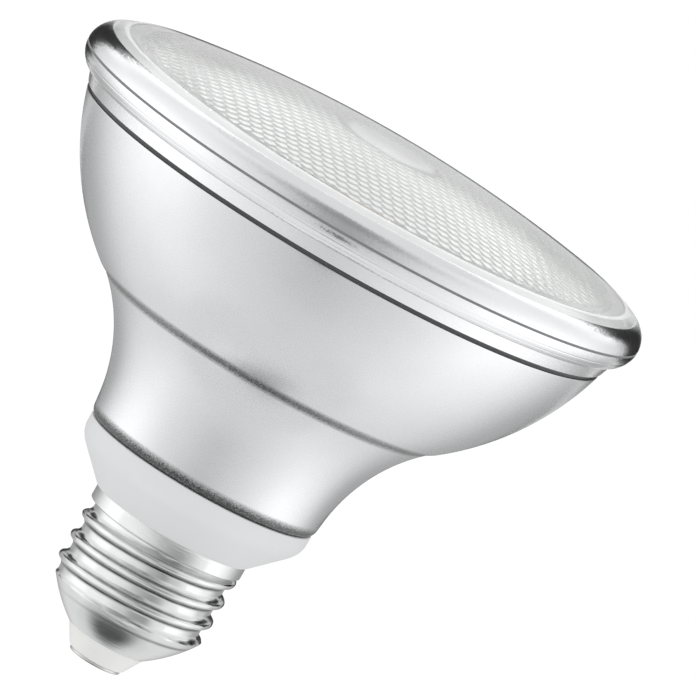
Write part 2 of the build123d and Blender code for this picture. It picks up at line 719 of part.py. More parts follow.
nodes = {
    "front_lens": front_lens(),
    "rim_seal": rim_seal(),
    "reflector": reflector(),
    "neck_seal": neck_seal(),
    "collar": collar(),
    "screw_shell": screw_shell(),
    "cap_insulator": cap_insulator(),
    "centre_contact": centre_contact(),
    "heat_spreader": heat_spreader(),
    "thermal_pad": disc(board_radius, spreader_top, board_foot),
    "led_board": disc(board_radius, board_foot, board_top),
    "led_chips": led_chips(),
    "board_screws": board_screws(),
    "driver_board": driver_board(),
    "electrolytic_capacitor": electrolytic_capacitor(),
    "transformer_core": transformer_core(),
    "transformer_bobbin": transformer_bobbin(),
    "transformer_winding": transformer_winding(),
    "film_capacitor": film_capacitor(),
    "bridge_rectifier": bridge_rectifier(),
    "driver_chip": driver_chip(),
    "input_choke": input_choke(),
    "fusible_resistor": fusible_resistor(),
    "live_lead": live_lead(),
    "neutral_lead": neutral_lead(),
    "led_lead_positive": led_lead(1),
    "led_lead_negative": led_lead(-1),
}

os.makedirs("parts", exist_ok=True)
for name, solid in nodes.items():
    export_step(solid, f"parts/{name}.step")
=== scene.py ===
import math

import bpy
from mathutils import Matrix, Vector


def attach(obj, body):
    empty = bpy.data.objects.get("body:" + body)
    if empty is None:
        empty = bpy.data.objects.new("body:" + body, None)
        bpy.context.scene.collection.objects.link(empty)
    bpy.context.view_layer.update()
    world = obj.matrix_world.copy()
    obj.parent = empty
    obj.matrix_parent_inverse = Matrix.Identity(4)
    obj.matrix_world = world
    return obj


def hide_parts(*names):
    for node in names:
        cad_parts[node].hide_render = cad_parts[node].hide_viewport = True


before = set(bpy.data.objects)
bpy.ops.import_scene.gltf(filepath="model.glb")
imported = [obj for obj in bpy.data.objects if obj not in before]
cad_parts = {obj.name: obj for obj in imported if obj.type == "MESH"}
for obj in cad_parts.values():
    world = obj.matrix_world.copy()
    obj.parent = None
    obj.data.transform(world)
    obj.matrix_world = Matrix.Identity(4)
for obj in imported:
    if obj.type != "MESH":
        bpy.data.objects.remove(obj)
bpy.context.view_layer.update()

# A reflector lamp with a stippled glass lens, a silver lacquered body, a white collar and a screw cap.
# Sizes are millimetres along the lamp's axis and across it, in the CAD model's own frame.

MM = 0.001
ROUND_STEPS = 6

# Rim and lens
RIM_RADIUS = 48.5
BEAD_SECTION = 3.85
BEAD_DROP = 3.3
BEAD_TOP_ANGLE = 70.0
SILVER_STOP_ANGLE = 67.0
BORDER_STEP = 0.25
BORDER_EDGE = 0.12
BORDER_INNER = 43.7
DOME_RADIUS = 44.5
DOME_SAG = 4.5
DOME_EDGE = 88.1
DOME_TOP_ANGLE = 89.8
LENS_WALL = 3.0
SEAM = 83.9
SEAL_HALF = 0.2
SPIGOT_RADIUS = 42.9
SPIGOT_BORE = 40.3
SPIGOT_DEPTH = 1.8
STIPPLE_PITCH = 2.24
STIPPLE_TURN = 13.0
STIPPLE_DEPTH = 0.36
STIPPLE_INNER = 8.5
STIPPLE_FADE = 0.5
STIPPLE_STEP = 0.32

# Bowl and neck
BOWL_TOP = 77.7
BAND_TOP = 80.6
BAND_RADIUS = 46.2
BAND_TAPER = 1.1
BAND_EDGE = 0.12
RIM_LINES = (81.4, 82.2)
RIM_LINE_DEPTH = 0.06
RIM_LINE_WIDTH = 0.08
GROOVE_WIDTH = 0.7
GROOVE_DEPTH = 0.5
GROOVE_EDGE = 0.15
GROOVE_FILLET = 0.1
MOUTH_RADIUS = 43.2
MOUTH_LAND = 1.0
CREASE = (30.1, 55.2)
CREASE_WIDTH = 1.2
CREASE_STEP = 0.2
CREASE_ROUND = 0.55
BOWL_BULGE = 2.075
GLASS_WALL = 2.4
GLASS_EDGE = 0.3
NECK_RADIUS = 19.6
NECK_TAPER = 6.0
NECK_STRAIGHT = 2.75
GLASS_FOOT = 33.75
FOOT_ROUND = 1.8
# Painted shade on the body: how far above the glass foot it reaches and its soft edge, then the height, dark
# core and reach of the painted shade along the crease
FOOT_SHADE_RISE = 0.9
FOOT_SHADE_FADE = 1.3
CREASE_SHADE_HEIGHT = 54.75
CREASE_SHADE_CORE = 0.2
CREASE_SHADE_REACH = 1.1

# Collar
COLLAR_RADIUS = 19.4
COLLAR_FOOT = 24.6
COLLAR_FOOT_RADIUS = 13.38
COLLAR_FOOT_EDGE = 0.15
COLLAR_SHOULDER = 30.65
COLLAR_SHOULDER_ROUND = 2.0
COLLAR_TOP = 33.8
COLLAR_TOP_EDGE = 0.3
LEDGE = 33.45
LIP_WIDTH = 0.9
LIP_EDGE = 0.1
TUBE_RADIUS = 16.387
TUBE_BORE = 14.987
TUBE_TOP = 45.0
TUBE_FOOT = 31.0
TUBE_EDGE = 0.2
SPOUT_RADIUS = 11.45
SPOUT_BORE = 10.25
SPOUT_TOP = 26.0
SPOUT_END = 14.6

# Screw cap
THREAD_RADIUS = 13.05
THREAD_ROUND = 0.55
THREAD_ROOT = 11.95
THREAD_DIP = 0.05
THREAD_PITCH = 25.4 / 7
THREAD_START = 5.0
THREAD_START_ANGLE = 190.0
# Faint waves of the rolled sheet: how many go round the cap, and how each leans per millimetre of height
THREAD_WOBBLE = 0.012
THREAD_WAVES = ((7, 0.9), (13, -1.3), (19, 2.1), (24, -0.6))
# Painted dark reflection under each thread crest: how far below the crest, how wide, and where it fades in
# and out
CREST_SHADE_DROP = 0.95
CREST_SHADE_WIDTH = 0.25
CREST_SHADE_FOOT = 7.5
CREST_SHADE_FADE_IN = 2.0
CREST_SHADE_FADE_OUT = 0.4
PLAIN_BAND_RADIUS = 13.13
PLAIN_BAND_FOOT = 22.3
PLAIN_BAND_LEAD = 0.35
PLAIN_BAND_RISE = 0.5
SHELL_WALL = 0.4
SHELL_LIP = (6.7, 3.95)
SHELL_FLOOR = 9.75
SHELL_DOME_TOP = 10.9
SHELL_DOME_BULGE = 0.45
INSULATOR_FACE = (4.6, 0.5)
INSULATOR_ROUND = 0.5
INSULATOR_EDGE = 0.1
INSULATOR_PLAY = 0.08
INSULATOR_DEPTH = 3.0
INSULATOR_FLARE = 1.6
CONTACT_HOLE = 1.55


def linear(code):
    """Linear colour from an sRGB hex value."""
    channels = [int(code[i : i + 2], 16) / 255 for i in (1, 3, 5)]
    spread = [c / 12.92 if c <= 0.04045 else ((c + 0.055) / 1.055) ** 2.4 for c in channels]
    return (*spread, 1.0)


def add(tree, kind, sockets=None, **settings):
    """One shader node: its settings, and its sockets as values or as links from other sockets."""
    made = tree.nodes.new(kind)
    for key, value in settings.items():
        setattr(made, key, value)
    for key, value in (sockets or {}).items():
        if isinstance(value, bpy.types.NodeSocket):
            tree.links.new(value, made.inputs[key])
        else:
            made.inputs[key].default_value = value
    return made


def new_material(name):
    """Empty node material, with its tree and the coordinates of the object in metres."""
    material = bpy.data.materials.new(name)
    material.use_nodes = True
    tree = material.node_tree
    tree.nodes.clear()
    place = add(tree, "ShaderNodeTexCoord").outputs["Object"]
    return material, tree, place


def per_metre(size_mm):
    """Texture scale whose features are about one size across."""
    return 1 / (size_mm * MM)


def polar(center, radius, angle):
    """Point at an angle in degrees round a center in the profile plane."""
    turn = math.radians(angle)
    return (center[0] + radius * math.cos(turn), center[1] + radius * math.sin(turn))


def arc(center, radius, start, end, steps):
    """Points of an arc in the profile plane, angles in degrees."""
    return [polar(center, radius, start + (end - start) * i / steps) for i in range(steps + 1)]


def bulged(start, end, bulge, steps):
    """Points of an arc between two points, with its rise over the chord to the left of its way."""
    dr, dz = end[0] - start[0], end[1] - start[1]
    chord = math.hypot(dr, dz)
    turn = 2 * math.atan(2 * bulge / chord)
    radius = chord / (2 * math.sin(turn))
    reach = radius * math.cos(turn)
    center = ((start[0] + end[0]) / 2 + reach * dz / chord, (start[1] + end[1]) / 2 - reach * dr / chord)
    first = math.degrees(math.atan2(start[1] - center[1], start[0] - center[0]))
    return arc(center, abs(radius), first, first - math.degrees(2 * turn), steps)


def ease(t):
    """Smooth step from 0 to 1."""
    t = min(max(t, 0.0), 1.0)
    return t * t * (3 - 2 * t)


def bell(t):
    """Bell curve, 1 at 0."""
    return math.exp(-t * t)


def outline(*parts):
    """Profile as (finish, radius, height). A part is a finish number that holds from there on, a point,
    a corner to round (radius, height, length taken from each side) or a list of points."""
    corners, finish = [], 0
    for part in parts:
        if isinstance(part, int):
            finish = part
        else:
            corners += [(finish, *point, 0.0)[:4] for point in (part if isinstance(part, list) else [part])]
    profile = []
    for i, (finish, r, z, size) in enumerate(corners):
        if not size:
            profile.append((finish, r, z))
            continue
        ends = []
        for other in (corners[i - 1], corners[(i + 1) % len(corners)]):
            share = min(size / math.hypot(other[1] - r, other[2] - z), 0.5)
            ends.append((r + (other[1] - r) * share, z + (other[2] - z) * share))
        for k in range(ROUND_STEPS + 1):
            t = k / ROUND_STEPS
            a, b, c = (1 - t) ** 2, 2 * t * (1 - t), t**2
            spot = [a * start + b * mid + c * end for start, mid, end in zip(ends[0], (r, z), ends[1])]
            profile.append((finish, *spot))
    return profile


def ring(radius, height, count):
    """Points of a circle round the axis."""
    turns = [2 * math.pi * i / count for i in range(count)]
    return [(radius * math.cos(t), radius * math.sin(t), height) for t in turns]


def skin(rings, capped=False):
    """Points and faces of a surface through rings (finish of the faces after it, points). A ring may have a
    multiple of its neighbour's points. The last ring joins the first, or both are capped."""
    points, spans, faces = [], [], []
    for _, place in rings:
        spans.append(range(len(points), len(points) + len(place)))
        points += place
    for k, (finish, _) in enumerate(rings[:-1] if capped else rings):
        low, high = spans[k], spans[(k + 1) % len(rings)]
        fine, coarse = (low, high) if len(low) >= len(high) else (high, low)
        ratio = len(fine) // len(coarse)
        for i in range(len(coarse)):
            run = [fine[(i * ratio + j) % len(fine)] for j in range(ratio + 1)]
            face = run + [coarse[(i + 1) % len(coarse)], coarse[i]]
            faces.append((face if fine is low else face[::-1], finish))
    if capped:
        faces.append((list(spans[0])[::-1], rings[0][0]))
        faces.append((list(spans[-1]), rings[-1][0]))
    return points, faces


def turned(profile, segments):
    """Points and faces of a closed profile turned about the axis."""
    return skin([(finish, ring(r, z, segments)) for finish, r, z in profile])


def mesh_piece(name, shape, node, materials, sharp=40):
    """A piece that stands for a CAD node, from its points in millimetres and faces with their finish."""
    points, faces = shape
    mesh = bpy.data.meshes.new(name)
    mesh.from_pydata([Vector(p) * MM for p in points], [], [face for face, _ in faces])
    for polygon, (_, finish) in zip(mesh.polygons, faces):
        polygon.material_index = finish
        polygon.use_smooth = True
    mesh.set_sharp_from_angle(angle=math.radians(sharp))
    for material in materials:
        mesh.materials.append(material)
    piece = bpy.data.objects.new(name, mesh)
    bpy.context.scene.collection.objects.link(piece)
    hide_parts(node)
    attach(piece, "root")
    return piece


# Materials


def flakes(tree, place, size_mm, tilt):
    """Metal flakes in a lacquer: random numbers for each flake, and the surface normal tipped flake by flake.
    Real flakes are some 0.03 mm across, and they are drawn coarser here so that they show."""
    cells = add(tree, "ShaderNodeTexVoronoi", {"Vector": place, "Scale": per_metre(size_mm)}).outputs["Color"]
    centered = add(tree, "ShaderNodeVectorMath", {0: cells, 1: (0.5, 0.5, 0.5)}, operation="SUBTRACT")
    tipped = add(tree, "ShaderNodeVectorMath", {0: centered.outputs[0], "Scale": tilt}, operation="SCALE")
    upright = add(tree, "ShaderNodeNewGeometry").outputs["Normal"]
    normal = add(tree, "ShaderNodeVectorMath", {0: upright, 1: tipped.outputs[0]}, operation="ADD")
    normal = add(tree, "ShaderNodeVectorMath", {0: normal.outputs[0]}, operation="NORMALIZE")
    return add(tree, "ShaderNodeSeparateXYZ", {0: cells}).outputs, normal.outputs[0]


def silver_lacquer():
    """Silver lacquer sprayed on glass: a satin metal whose fine flakes make dark reflections look grainy. In
    the crease and at the glass foot the silver is painted near black, flake by flake, as painted shade."""
    material, tree, place = new_material("silver lacquer, sprayed satin")
    chance, normal = flakes(tree, place, size_mm=0.14, tilt=0.035)
    height = add(tree, "ShaderNodeSeparateXYZ", {0: place}).outputs["Z"]
    # Painted shade: the silver goes near black towards the glass foot and along the crease, broken up flake
    # by flake
    foot_shade_top = GLASS_FOOT + FOOT_SHADE_RISE
    foot = add(tree, "ShaderNodeMapRange", {
        "Value": height, "From Min": foot_shade_top * MM, "From Max": (foot_shade_top + FOOT_SHADE_FADE) * MM,
        "To Min": 1.0, "To Max": 0.0,
    })
    off = add(tree, "ShaderNodeMath", {0: height, 1: CREASE_SHADE_HEIGHT * MM}, operation="SUBTRACT")
    off = add(tree, "ShaderNodeMath", {0: off.outputs[0]}, operation="ABSOLUTE")
    crease_shade = add(tree, "ShaderNodeMapRange", {
        "Value": off.outputs[0], "From Min": CREASE_SHADE_CORE * MM, "From Max": CREASE_SHADE_REACH * MM,
        "To Min": 0.82, "To Max": 0.0,
    })
    painted_shade = add(tree, "ShaderNodeMath", {
        0: foot.outputs["Result"], 1: crease_shade.outputs["Result"],
    }, operation="MAXIMUM")
    speckle = add(tree, "ShaderNodeMapRange", {"Value": chance["X"], "To Min": 0.7, "To Max": 1.6})
    shade_share = add(tree, "ShaderNodeMath", {
        0: painted_shade.outputs[0], 1: speckle.outputs["Result"],
    }, operation="MULTIPLY")
    lacquer = add(tree, "ShaderNodeMath", {0: 1.0, 1: shade_share.outputs[0]}, operation="SUBTRACT", use_clamp=True)
    unshaded = lacquer.outputs[0]
    cloud = add(tree, "ShaderNodeTexNoise", {"Vector": place, "Scale": per_metre(9), "Detail": 3})
    silver = add(tree, "ShaderNodeValToRGB", {"Fac": cloud.outputs["Fac"]})
    silver.color_ramp.elements[0].color = linear("#C8C9CB")
    silver.color_ramp.elements[1].color = linear("#D0D1D2")
    # Painted shade: near black where the mask takes the silver away
    colour = add(tree, "ShaderNodeMix", {
        "Factor": unshaded, "A": linear("#161617"), "B": silver.outputs["Color"],
    }, data_type="RGBA")
    finish = add(tree, "ShaderNodeMapRange", {"Value": chance["Y"], "To Min": 0.23, "To Max": 0.29})
    shader = add(tree, "ShaderNodeBsdfPrincipled", {
        "Base Color": colour.outputs["Result"], "Metallic": unshaded, "Roughness": finish.outputs["Result"],
        "Normal": normal, "Specular IOR Level": 0.8,
    })
    add(tree, "ShaderNodeOutputMaterial", {"Surface": shader.outputs["BSDF"]})
    return material


def rim_lacquer():
    """The same lacquer on the fire-polished rim, where the glass under it is smoother and mirrors more."""
    material, tree, place = new_material("silver lacquer, polished rim")
    chance, normal = flakes(tree, place, size_mm=0.14, tilt=0.08)
    finish = add(tree, "ShaderNodeMapRange", {"Value": chance["Y"], "To Min": 0.12, "To Max": 0.2})
    shader = add(tree, "ShaderNodeBsdfPrincipled", {
        "Base Color": linear("#D8D9DA"), "Metallic": 1.0, "Roughness": finish.outputs["Result"],
        "Normal": normal,
    })
    add(tree, "ShaderNodeOutputMaterial", {"Surface": shader.outputs["BSDF"]})
    return material


def inner_silver():
    """Vacuum-deposited silver on the bowl's inside: a bright, almost clear mirror."""
    material, tree, place = new_material("vacuum silvered glass")
    ripple = add(tree, "ShaderNodeTexNoise", {"Vector": place, "Scale": per_metre(4), "Detail": 2})
    finish = add(tree, "ShaderNodeMapRange", {"Value": ripple.outputs["Fac"], "To Min": 0.04, "To Max": 0.12})
    shader = add(tree, "ShaderNodeBsdfPrincipled", {
        "Base Color": linear("#F8F8F6"), "Metallic": 1.0, "Roughness": finish.outputs["Result"],
    })
    add(tree, "ShaderNodeOutputMaterial", {"Surface": shader.outputs["BSDF"]})
    return material


def pressed_glass(name, clear, dullest):
    """Pressed soda glass, colourless: clear where it is polished, milkier where the mould left it rough."""
    material, tree, place = new_material(name)
    chill = add(tree, "ShaderNodeTexNoise", {"Vector": place, "Scale": per_metre(3), "Detail": 2})
    finish = add(tree, "ShaderNodeMapRange", {
        "Value": chill.outputs["Fac"], "To Min": 0.02, "To Max": dullest,
    })
    shader = add(tree, "ShaderNodeBsdfPrincipled", {
        "Base Color": linear("#FDFEFE"), "Roughness": finish.outputs["Result"], "IOR": 1.51,
        "Transmission Weight": clear,
    })
    add(tree, "ShaderNodeOutputMaterial", {"Surface": shader.outputs["BSDF"]})
    return material


def white_plastic():
    """White polyester moulding: even, semi-matt, with a fine spark-eroded skin. Its real grain is some 0.1 mm
    across, and it is drawn coarser here so that it shows."""
    material, tree, place = new_material("white polyester, moulded")
    skin_grain = add(tree, "ShaderNodeTexNoise", {"Vector": place, "Scale": per_metre(0.35), "Detail": 3})
    tone = add(tree, "ShaderNodeTexNoise", {"Vector": place, "Scale": per_metre(12), "Detail": 2})
    colour = add(tree, "ShaderNodeValToRGB", {"Fac": tone.outputs["Fac"]})
    colour.color_ramp.elements[0].color = linear("#E1E2E3")
    colour.color_ramp.elements[1].color = linear("#E6E7E8")
    finish = add(tree, "ShaderNodeMapRange", {
        "Value": skin_grain.outputs["Fac"], "To Min": 0.4, "To Max": 0.55,
    })
    grain = add(tree, "ShaderNodeBump", {
        "Height": skin_grain.outputs["Fac"], "Strength": 0.08, "Distance": 0.02 * MM,
    })
    shader = add(tree, "ShaderNodeBsdfPrincipled", {
        "Base Color": colour.outputs["Color"], "Roughness": finish.outputs["Result"],
        "Normal": grain.outputs["Normal"],
    })
    add(tree, "ShaderNodeOutputMaterial", {"Surface": shader.outputs["BSDF"]})
    return material


def nickel():
    """Nickel plate on the rolled shell: bright, with rolling marks round the cap and a thin line of painted
    dark reflection on the underside of each thread crest. Real marks are finer, and they are drawn coarse
    enough to show."""
    material, tree, place = new_material("nickel plate, rolled")
    stretched = add(tree, "ShaderNodeMapping", {"Vector": place, "Scale": (1, 1, 8)})
    marks = add(tree, "ShaderNodeTexNoise", {
        "Vector": stretched.outputs["Vector"], "Scale": per_metre(2.5), "Detail": 3,
    })
    finish = add(tree, "ShaderNodeMapRange", {"Value": marks.outputs["Fac"], "To Min": 0.1, "To Max": 0.26})
    grain = add(tree, "ShaderNodeBump", {
        "Height": marks.outputs["Fac"], "Strength": 0.5, "Distance": 0.05 * MM,
    })
    # Painted dark reflection: the dark line under each crest, from the shell's points, broken by the rolling
    # marks
    line = add(tree, "ShaderNodeAttribute", attribute_name="crest_shade").outputs["Fac"]
    patchy = add(tree, "ShaderNodeMapRange", {
        "Value": marks.outputs["Fac"], "From Min": 0.25, "From Max": 0.6, "To Min": 0.75, "To Max": 1.0,
    })
    crest_shading = add(tree, "ShaderNodeMath", {0: line, 1: patchy.outputs["Result"]}, operation="MULTIPLY")
    colour = add(tree, "ShaderNodeMix", {
        "Factor": crest_shading.outputs[0], "A": linear("#CBCCCC"), "B": linear("#1E1E1F"),
    }, data_type="RGBA")
    shader = add(tree, "ShaderNodeBsdfPrincipled", {
        "Base Color": colour.outputs["Result"], "Metallic": 1.0, "Roughness": finish.outputs["Result"],
        "Normal": grain.outputs["Normal"],
    })
    add(tree, "ShaderNodeOutputMaterial", {"Surface": shader.outputs["BSDF"]})
    return material


def coated(name, dark, light, grain_mm, roughness, metallic=0.0):
    """Plain coat in two near tones, mottled at a grain's size, for small parts and the parts inside."""
    material, tree, place = new_material(name)
    grain = add(tree, "ShaderNodeTexNoise", {"Vector": place, "Scale": per_metre(grain_mm), "Detail": 3})
    colour = add(tree, "ShaderNodeValToRGB", {"Fac": grain.outputs["Fac"]})
    colour.color_ramp.elements[0].color = linear(dark)
    colour.color_ramp.elements[1].color = linear(light)
    shader = add(tree, "ShaderNodeBsdfPrincipled", {
        "Base Color": colour.outputs["Color"], "Metallic": metallic, "Roughness": roughness,
    })
    add(tree, "ShaderNodeOutputMaterial", {"Surface": shader.outputs["BSDF"]})
    return material


body_silver = silver_lacquer()
rim_silver = rim_lacquer()
mirror_silver = inner_silver()
polished_glass = pressed_glass("pressed clear glass, polished", clear=0.96, dullest=0.06)
stippled_glass = pressed_glass("pressed clear glass, stippled", clear=0.8, dullest=0.1)
frosted_glass = pressed_glass("pressed clear glass, frosted border", clear=0.25, dullest=0.4)
collar_white = white_plastic()
cap_nickel = nickel()
# Black painted shade in the groove under the rim band, mottled with grey
groove_painted_black = coated("groove painted black for shade", "#2A2A2B", "#787879", 0.15, 0.6)
# Insulating glass: milky white and smooth, with a soft shine
insulator_white = coated("white insulating glass", "#EFF0ED", "#F3F3F1", 2.0, 0.3)

# Bowl and neck


def bowl_lines(inset):
    """Foot, neck top and the bowl's arc, set in from the outside, and the outward angle at the crease."""
    top = (BAND_RADIUS - BAND_TAPER, BOWL_TOP)
    chord = (top[0] - CREASE[0], top[1] - CREASE[1])
    length = math.hypot(*chord)
    turn = 2 * math.degrees(math.atan(2 * BOWL_BULGE / length))
    radius = length / (2 * math.sin(math.radians(turn)))
    lean = math.degrees(math.atan2(chord[1], chord[0])) - 90
    center = polar(CREASE, -radius, lean - turn)
    bowl = arc(center, radius - inset, lean - turn, lean + turn, 48)
    taper = math.radians(NECK_TAPER)
    foot = (NECK_RADIUS - inset / math.cos(taper), GLASS_FOOT)
    neck = (foot[0] + NECK_STRAIGHT * math.tan(taper), GLASS_FOOT + NECK_STRAIGHT)
    return foot, neck, bowl, lean - turn


def flare(neck, end, steps):
    """Arc that leaves the tapered neck without a corner."""
    run = (end[0] - neck[0], end[1] - neck[1])
    swing = math.radians(90 - NECK_TAPER) - math.atan2(run[1], run[0])
    return bulged(neck, end, math.hypot(*run) / 2 * math.tan(swing / 2), steps)


def reflector():
    """Glass bowl and neck in one, lacquered outside and silvered inside, up to the seam in the rim bead."""
    lacquer, groove_shade, rim, mirror = range(4)
    foot, neck, bowl, crease_angle = bowl_lines(0)
    inner_foot, inner_neck, inner_bowl, _ = bowl_lines(GLASS_WALL)
    crease_foot = polar(polar(CREASE, -CREASE_STEP, crease_angle), CREASE_WIDTH, crease_angle - 90)
    top = BAND_RADIUS - BAND_TAPER
    groove_top = BOWL_TOP + GROOVE_WIDTH
    bead = (RIM_RADIUS - BEAD_SECTION, SEAM)
    drop = math.degrees(math.asin(BEAD_DROP / BEAD_SECTION))
    seat = math.degrees(math.asin(SEAL_HALF / BEAD_SECTION))

    def pressed(point):
        depth = RIM_LINE_DEPTH * sum(bell((point[1] - z) / RIM_LINE_WIDTH) for z in RIM_LINES)
        return (point[0] - depth, point[1])

    profile = outline(
        lacquer,
        (inner_foot[0], GLASS_FOOT, GLASS_EDGE),
        (*foot, FOOT_ROUND),
        flare(neck, crease_foot, 40)[:-1],
        (*crease_foot, CREASE_ROUND),
        (*CREASE, CREASE_ROUND),
        bowl[1:-1],
        (top, BOWL_TOP, GROOVE_EDGE),
        # Painted shade: the groove under the rim band is finished black
        groove_shade,
        (top - GROOVE_EDGE, BOWL_TOP),
        (top - GROOVE_DEPTH, BOWL_TOP, GROOVE_FILLET),
        (top - GROOVE_DEPTH, groove_top, GROOVE_FILLET),
        rim,
        (top + BAND_TAPER * GROOVE_WIDTH / (BAND_TOP - BOWL_TOP), groove_top, GROOVE_EDGE),
        (BAND_RADIUS, BAND_TOP, BAND_EDGE),
        [pressed(point) for point in arc(bead, BEAD_SECTION, -drop, -seat, 80)],
        mirror,
        (MOUTH_RADIUS, SEAM - SEAL_HALF),
        (MOUTH_RADIUS, SEAM - SEAL_HALF - SPIGOT_DEPTH - MOUTH_LAND),
        inner_bowl[::-1],
        flare(inner_neck, inner_bowl[0], 40)[-2::-1],
    )
    finishes = [body_silver, groove_painted_black, rim_silver, mirror_silver]
    mesh_piece("bowl_and_neck", turned(profile, 288), "reflector", finishes)


# Lens


def stipple(x, y):
    """Height from 0 to 1 of rounded bumps set close together in a triangular pattern."""
    wave = 2 * math.pi / (STIPPLE_PITCH * math.sqrt(3) / 2)
    turns = [math.radians(STIPPLE_TURN + third) for third in (0, 60, 120)]
    # The three waves add up to between -1.5 and 3
    return (sum(math.cos(wave * (x * math.cos(t) + y * math.sin(t))) for t in turns) + 1.5) / 4.5


def front_lens():
    """The outside is smooth, and the stipple is pressed into the inside of the dome round a smooth middle."""
    stippled, frosted, silver, polished = range(4)
    sphere = (DOME_RADIUS**2 + DOME_SAG**2) / (2 * DOME_SAG)
    center = (0.0, DOME_EDGE + DOME_SAG - sphere)
    bead = (RIM_RADIUS - BEAD_SECTION, SEAM)
    seat = math.degrees(math.asin(SEAL_HALF / BEAD_SECTION))
    bead_end = polar(bead, BEAD_SECTION, BEAD_TOP_ANGLE)
    floor = SEAM + SEAL_HALF - SPIGOT_DEPTH
    fewest, coarse, middling, fine = 28, 224, 448, 896
    rings = []
    rows = round((SPIGOT_BORE - STIPPLE_INNER) / STIPPLE_STEP)
    middle_rows = 6
    reaches = [STIPPLE_INNER * k / middle_rows for k in range(1, middle_rows)]
    reaches += [STIPPLE_INNER + (SPIGOT_BORE - STIPPLE_INNER) * k / rows for k in range(rows + 1)]
    for radius in reaches:
        count = fine
        while count > fewest and math.pi * radius / count * 4 < STIPPLE_STEP:
            count //= 2
        level = center[1] + math.sqrt((sphere - LENS_WALL) ** 2 - radius**2)
        mask = ease((radius - STIPPLE_INNER) / STIPPLE_FADE)
        row = ring(radius, level, count)
        if mask:
            row = [(x, y, z + STIPPLE_DEPTH * mask * (1 - stipple(x, y))) for x, y, z in row]
        rings.append((stippled, row))
    edge = outline(
        frosted,
        (SPIGOT_BORE, floor, GLASS_EDGE),
        (SPIGOT_RADIUS, floor, GLASS_EDGE),
        (SPIGOT_RADIUS, SEAM + SEAL_HALF),
        silver,
        arc(bead, BEAD_SECTION, seat, SILVER_STOP_ANGLE, 20),
        frosted,
        (*bead_end, BORDER_EDGE),
        (bead_end[0], bead_end[1] - BORDER_STEP, BORDER_EDGE),
    )
    rings += [(finish, ring(r, z, middling)) for finish, r, z in edge]
    slope = math.degrees(math.acos(DOME_RADIUS / sphere))
    border = math.degrees(math.acos(BORDER_INNER / sphere))
    rings += [(frosted, ring(r, z, coarse)) for r, z in arc(center, sphere, slope, border, 4)[:-1]]
    rings += [(polished, ring(r, z, coarse)) for r, z in arc(center, sphere, border, DOME_TOP_ANGLE, 40)]
    finishes = [stippled_glass, frosted_glass, rim_silver, polished_glass]
    mesh_piece("stippled_lens", skin(rings, True), "front_lens", finishes, 60)


# Collar and cap


def collar():
    """White collar with its tube in the glass neck and its spout in the screw shell."""
    profile = outline(
        (SPOUT_BORE, SPOUT_END),
        (SPOUT_RADIUS, SPOUT_END, TUBE_EDGE),
        (SPOUT_RADIUS, COLLAR_FOOT),
        (COLLAR_FOOT_RADIUS, COLLAR_FOOT, COLLAR_FOOT_EDGE),
        (COLLAR_RADIUS, COLLAR_SHOULDER, COLLAR_SHOULDER_ROUND),
        (COLLAR_RADIUS, COLLAR_TOP, COLLAR_TOP_EDGE),
        (COLLAR_RADIUS - LIP_WIDTH, COLLAR_TOP, LIP_EDGE),
        (COLLAR_RADIUS - LIP_WIDTH, LEDGE),
        (TUBE_RADIUS, LEDGE),
        (TUBE_RADIUS, TUBE_TOP, TUBE_EDGE),
        (TUBE_BORE, TUBE_TOP, TUBE_EDGE),
        (TUBE_BORE, TUBE_FOOT),
        (SPOUT_BORE, SPOUT_TOP),
    )
    mesh_piece("white_collar", turned(profile, 192), "collar", [collar_white])


def over_crest(turn, height):
    """Height over the nearest thread crest, from minus to plus half a pitch."""
    crest = THREAD_START + THREAD_PITCH * (turn - math.radians(THREAD_START_ANGLE)) / (2 * math.pi)
    return (height - crest + THREAD_PITCH / 2) % THREAD_PITCH - THREAD_PITCH / 2


def thread_radius(turn, height):
    """Outside of the rolled thread: a narrow round crest between hollow valleys that end on the root."""
    half = THREAD_PITCH / 2
    away = abs(over_crest(turn, height))
    drop = THREAD_RADIUS - THREAD_ROOT + THREAD_DIP
    valley = (half**2 + drop**2) / (2 * drop) - THREAD_ROUND
    if away < half * THREAD_ROUND / (THREAD_ROUND + valley):
        return THREAD_RADIUS - THREAD_ROUND + math.sqrt(THREAD_ROUND**2 - away**2)
    hollow = THREAD_ROOT - THREAD_DIP + valley - math.sqrt(valley**2 - (half - away) ** 2)
    return max(THREAD_ROOT, hollow)


